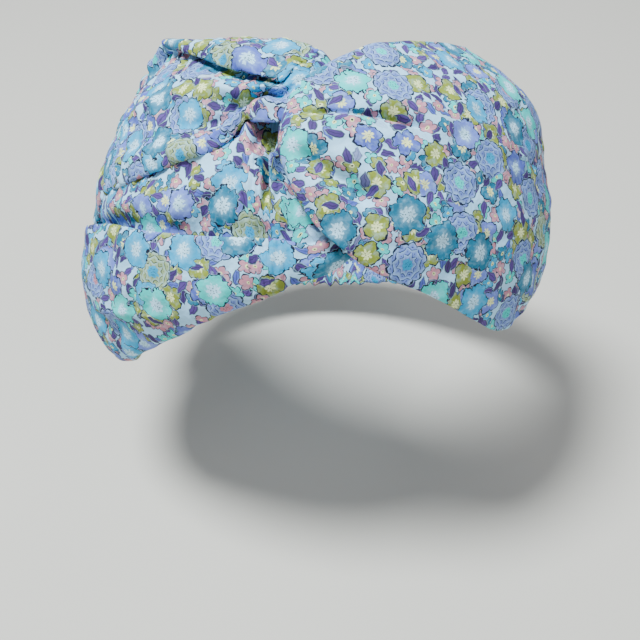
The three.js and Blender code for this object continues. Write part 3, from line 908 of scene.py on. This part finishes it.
def printed_cotton(name, print_group, shift):
    material, tree, shader = new_material(name)
    place = vector("ADD", uv_place(tree), (*shift, 0.0))
    group = tree.nodes.new("ShaderNodeGroup")
    group.node_tree = print_group
    join(place, group.inputs[0])
    slub = noise(vector("MULTIPLY", place, (0.5, 6.0, 1.0)), 1.0, 2.0)
    colour = vector("SCALE", Wire(tree, group.outputs[0]), slub * 0.14 + 0.9)
    join(colour, shader.inputs["Base Color"])
    set_inputs(shader, {"Roughness": 0.72, "Specular IOR Level": 0.22})
    creases = noise(place, 0.13, 4.0)
    soft = add_bump(shader, creases, 0.8, 0.0016)
    add_bump(shader, weave_height(place, 0.5), 0.12, 0.0001, soft)
    return material


def plain_material(name, colour, roughness):
    material, _, shader = new_material(name)
    set_inputs(shader, {"Base Color": colour, "Roughness": roughness})
    return material


def woven_elastic(name):
    """Flat white elastic: fine ribs along its length, crossed by a weft, with a little yellowing, and painted
    shade in the grooves between the ribs.
    """
    material, tree, shader = new_material(name)
    place = uv_place(tree)
    _, across, _ = parts(place)
    rib = (across * (2 * math.pi / 1.3)).maths("SINE")
    weft = weave_height(place, 0.7)
    # painted shade: the grooves between the ribs are painted a darker grey and the rib tops near white,
    # following the same rib height as the bump
    colour = mixed((rib * 0.5 + 0.5) * 0.5, srgb(206, 204, 196), srgb(240, 239, 233))
    colour = mixed(noise(place, 0.2) * 0.3, colour, srgb(228, 222, 204))
    join(colour, shader.inputs["Base Color"])
    set_inputs(shader, {"Roughness": 0.8})
    add_bump(shader, rib + weft * 0.4, 0.6, 0.0003)
    return material


def spun_thread(name):
    """Pale sewing thread: two twisted plies, with a slight sheen, and painted shade in the grooves between
    the plies.
    """
    material, tree, shader = new_material(name)
    coordinates = tree.nodes.new("ShaderNodeTexCoord")
    place = Wire(tree, coordinates.outputs["Object"])
    x, y, z = parts(place)
    twist = ((x + y * 0.7 + z * 1.3) * (2 * math.pi / 0.0006)).maths("SINE")
    # painted shade: the grooves of the twist are painted a darker blue-grey and the ply tops paler, following
    # the same twist height as the bump
    colour = mixed(twist * 0.5 + 0.5, srgb(196, 212, 222), srgb(236, 242, 246))
    join(colour, shader.inputs["Base Color"])
    set_inputs(shader, {"Roughness": 0.55, "Sheen Weight": 0.2})
    add_bump(shader, twist, 0.4, 0.0001)
    return material


# ---------------------------------------------------------------- making the pieces

CASING_START = JOIN_ALONG + 0.5
CASING_END = GIRTH - CASING_START
LAP_LENGTH = 10.0
LAP_LIFT = 12.8
CASING_HALF_WIDTH = 20.5
CASING_LIFTS = (1.6, 8.4)
MOUTH_BOTTOM = 1.8
SHOULDER = 22.0
RUCHE_HEIGHT, INNER_RUCHE_HEIGHT = 0.75, 0.35
EDGE_WAVE = 0.6
EDGE_ROUNDING = 1.3
LAP_THICKNESS = 1.2
ELASTIC_HALF_WIDTH = 12.5
ELASTIC_LIFT = 5.7
ELASTIC_THICKNESS = 1.4
ELASTIC_INSET = 4.0
STITCH = 2.6
STITCH_GAP = 0.8
STITCH_RISE = 0.35
THREAD_RADIUS = 0.3
THREAD_SIDES = 6
LAP_STITCH_ROWS = (3, 7)
LAP_STITCH_REACH = 17
BARTACK_RADIUS = 0.25
BARTACK_REACH = 9
BARTACK_SWINGS = (2.0, 4.5)
BARTACK_LIFT = 7.5
BARTACK_CORNERS = 25
CLOTH_THICKNESS = 0.0013
FOLD_REACH = 4.5


def thickness_map(sheet, first_puff, last_puff):
    """How thick the folded tube is at each grid point: a little fuller along its side folds."""
    across = np.linalg.norm(np.diff(sheet, axis=1), axis=-1)
    run = np.concatenate([np.zeros((len(sheet), 1)), np.cumsum(across, axis=1)], axis=1)
    from_first, from_last = run / MM, (run[:, -1:] - run) / MM
    puff = first_puff * np.exp(-((from_first / FOLD_REACH) ** 2))
    puff = puff + last_puff * np.exp(-((from_last / FOLD_REACH) ** 2))
    return CLOTH_THICKNESS + puff


def gathers(along, z, seed):
    """Ruching across the width, as a height of about unit size."""
    rng = np.random.default_rng(seed)
    total = np.zeros_like(along)
    for length in (8.7, 6.1, 4.6):
        sway = 1.9 * np.sin(z / (5 + 5 * rng.random()) + 6 * rng.random())
        sway = sway + 1.3 * np.sin(along / (11 + 9 * rng.random()) + 6 * rng.random())
        total += np.sin(2 * math.pi * (along + sway) / length + 6 * rng.random()) / math.sqrt(2)
    return total


def casing_faces(rows=420, columns=60):
    """The ruched casing's outer and inner faces. Past each mouth only the outer face runs on, as a lap."""
    first, last = CASING_START - LAP_LENGTH, CASING_END + LAP_LENGTH
    along = np.linspace(first, last, rows)
    from_mouth = np.minimum(along - CASING_START, CASING_END - along)[:, None]
    shares = np.linspace(1, -1, columns)[None]
    drop = smoothstep(from_mouth / SHOULDER)
    ruched = smoothstep((from_mouth + 2) / 12)
    across = along[:, None] + 0 * shares
    edge_wave = EDGE_WAVE * gathers(across[:, :1], 0 * across[:, :1], 8) * ruched
    z = shares * (CASING_HALF_WIDTH + edge_wave)
    height = gathers(across, z, 4) * ruched
    rounding = EDGE_ROUNDING * np.abs(shares) ** 6 * ruched
    outer_lift = LAP_LIFT + (CASING_LIFTS[1] - LAP_LIFT) * drop + RUCHE_HEIGHT * height - rounding
    inner_lift = MOUTH_BOTTOM + (CASING_LIFTS[0] - MOUTH_BOTTOM) * drop
    inner_lift = inner_lift + INNER_RUCHE_HEIGHT * height + rounding
    inner_lift = np.where(from_mouth < 0, outer_lift - LAP_THICKNESS, inner_lift)
    outer = wrapped(np.stack([across, z, outer_lift], -1))
    inner = wrapped(np.stack([across, z, inner_lift], -1))
    return outer, inner


def elastic_faces(rows=120, columns=12):
    along = np.linspace(CASING_START + ELASTIC_INSET, CASING_END - ELASTIC_INSET, rows)[:, None]
    z = np.linspace(ELASTIC_HALF_WIDTH, -ELASTIC_HALF_WIDTH, columns)[None]
    from_mouth = np.minimum(along - CASING_START, CASING_END - along)
    lift = ELASTIC_LIFT + 1.6 * (1 - smoothstep(from_mouth / SHOULDER)) + 0 * z
    outer = np.stack([along + 0 * z, z + 0 * along, lift], -1)
    inner = outer - (0, 0, ELASTIC_THICKNESS)
    return wrapped(outer), wrapped(inner)


def thread_pieces(name, runs, radius):
    """One object made of many short stitches. Each run is a list of points in metres."""
    sides = THREAD_SIDES
    vertices, faces = [], []
    for run in runs:
        run = np.asarray(run, float)
        ahead = unit(np.gradient(run, axis=0))
        side = unit(np.cross(ahead, np.roll(ahead, 1, axis=-1) + 0.3))
        up = np.cross(side, ahead)
        first = len(vertices)
        for k, point in enumerate(run):
            share = math.sin(math.pi * (k + 0.35) / (len(run) - 0.3)) ** 0.5
            for j in range(sides):
                angle = 2 * math.pi * j / sides
                outwards = math.cos(angle) * side[k] + math.sin(angle) * up[k]
                vertices.append(point + radius * MM * share * outwards)
        faces += grid_faces(len(run), sides, close_columns=True, offset=first)
        faces.append([first + j for j in range(sides)])
        faces.append([first + (len(run) - 1) * sides + j for j in reversed(range(sides))])
    obj = mesh_object(name, vertices, faces)
    obj.data.materials.append(THREAD)
    return obj


def stitched_line(path, rise):
    """Splits a line of points in metres into stitches. rise gives each point's outward offset in metres."""
    steps = np.linalg.norm(np.diff(path, axis=0), axis=-1) / MM
    run = np.concatenate([[0], np.cumsum(steps)])
    runs, start = [], 0.5
    while start + STITCH < run[-1]:
        at = np.linspace(start, start + STITCH, 6)
        points = np.stack([np.interp(at, run, path[:, k]) for k in range(3)], -1)
        lifts = np.stack([np.interp(at, run, rise[:, k]) for k in range(3)], -1)
        arch = np.sin(np.linspace(0, math.pi, 6))[:, None]
        runs.append(points + lifts * arch)
        start += STITCH + STITCH_GAP
    return runs


def seam(name, inner, first, last, flip):
    """Stitches down the middle of a tube's inner face, between two shares of its length."""
    middle = inner.shape[1] // 2
    rows = slice(int(first * len(inner)), int(last * len(inner)))
    normals = blurred(grid_normals(inner), 4) * (1 if flip else -1)
    rise = normals[rows, middle] * STITCH_RISE * MM
    return thread_pieces(name, stitched_line(inner[rows, middle], rise), THREAD_RADIUS)


def join_topstitch(side):
    """Two rows of stitches that hold a lap of the casing down."""
    runs = []
    for row in LAP_STITCH_ROWS:
        z = np.linspace(-LAP_STITCH_REACH, LAP_STITCH_REACH, 60)
        along = side * (CASING_START - row) + 0 * z
        path = wrapped(np.stack([along, z, LAP_LIFT + 0.1 + 0 * z], -1))
        above = wrapped(np.stack([along, z, LAP_LIFT + 0.5 + 0 * z], -1))
        runs += stitched_line(path, above - path)
    return runs


def elastic_bartack(side):
    """A dense zigzag across the end of the elastic."""
    z = np.linspace(-BARTACK_REACH, BARTACK_REACH, BARTACK_CORNERS)
    swing = np.where(np.arange(BARTACK_CORNERS) % 2, BARTACK_SWINGS[1], BARTACK_SWINGS[0])
    along = side * (CASING_START + ELASTIC_INSET + swing)
    corners = wrapped(np.stack([along, z, BARTACK_LIFT + 0 * z], -1))
    return [np.linspace(a, b, 5) for a, b in zip(corners[:-1], corners[1:])]


FLORAL = floral_group()
LEFT_COTTON = printed_cotton("left_cotton", FLORAL, (137, 59))
RIGHT_COTTON = printed_cotton("right_cotton", FLORAL, (31, 211))
CASING_COTTON = printed_cotton("casing_cotton", FLORAL, (263, 97))
ELASTIC_WEAVE = woven_elastic("elastic_weave")
THREAD = spun_thread("spun_thread")

left_outer = wrapped(left_band_sheet())
left_inner = inner_face(left_outer, thickness_map(left_outer, 0.0011, 0.0001), True)
right_outer = wrapped(right_band_sheet())
right_inner = inner_face(right_outer, thickness_map(right_outer, 0.0006, 0.0006), False)
casing_outer, casing_inner = casing_faces()
elastic_outer, elastic_inner = elastic_faces()

left = closed_tube("left_band_cloth", left_outer, left_inner, True, LEFT_COTTON)
right = closed_tube("right_band_cloth", right_outer, right_inner, False, RIGHT_COTTON)
casing = closed_tube("ruched_casing", casing_outer, casing_inner, False, CASING_COTTON)
elastic = closed_tube("woven_elastic_band", elastic_outer, elastic_inner, False, ELASTIC_WEAVE)

left_seam = seam("left_band_seam_stitches", left_inner, 0.03, 0.97, True)
right_seam = seam("right_band_seam_stitches", right_inner, 0.03, 0.97, False)
casing_seam = seam("casing_seam_stitches", casing_inner, 0.16, 0.84, False)

for piece, node, slot in (
    (left, "left_band", "left_cloth"),
    (right, "right_band", "right_cloth"),
    (left_seam, "left_band_closing_seam", "sewing_thread"),
    (right_seam, "right_band_closing_seam", "sewing_thread"),
):
    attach(piece, "front_wrap")
    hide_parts(node)

back_pieces = [
    (casing, "back_casing", "casing_cloth"),
    (elastic, "back_elastic", "woven_elastic"),
    (casing_seam, "casing_closing_seam", "sewing_thread"),
]
for side, word in ((-1, "left"), (1, "right")):
    topstitch = thread_pieces(word + "_join_stitches", join_topstitch(side), THREAD_RADIUS)
    bartack = thread_pieces(word + "_bartack_stitches", elastic_bartack(side), BARTACK_RADIUS)
    back_pieces.append((topstitch, word + "_join_topstitch", "sewing_thread"))
    back_pieces.append((bartack, word + "_elastic_bartack", "sewing_thread"))

for piece, node, slot in back_pieces:
    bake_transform(piece)
    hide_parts(node)


# ---------------------------------------------------------------- floor and light

# Stretched by 25 mm, the casing sinks by 16 mm, so the floor lies a little lower than that.
FLOOR_DROP = 0.018
FLOOR = plain_material("pale_floor", srgb(196, 188, 178), 0.9)
bpy.ops.mesh.primitive_plane_add(size=6, location=(0, 0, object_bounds()[0][2] - FLOOR_DROP))
floor = bpy.context.object
floor.name = "floor"
floor.data.materials.append(FLOOR)

for place, size, power, colour in (
    ((-0.4, -0.2, 1.3), 0.45, 51, (0.84, 0.95, 1.0)),
    ((0.9, -0.7, 0.7), 0.9, 5, (0.86, 0.94, 1.0)),
    ((0.2, 1.0, 0.8), 0.8, 4, (0.86, 0.94, 1.0)),
):
    data = bpy.data.lights.new("soft_light", "AREA")
    data.shape, data.size, data.energy, data.color = "DISK", size, power, colour
    light = bpy.data.objects.new("soft_light", data)
    light.location = place
    light.rotation_euler = (-Vector(place)).to_track_quat("-Z", "Y").to_euler()
    bpy.context.scene.collection.objects.link(light)

world = bpy.data.worlds.new("pale_world")
world.use_nodes = True
set_inputs(world.node_tree.nodes["Background"], {"Color": srgb(226, 236, 248), "Strength": 0.4})
bpy.context.scene.world = world
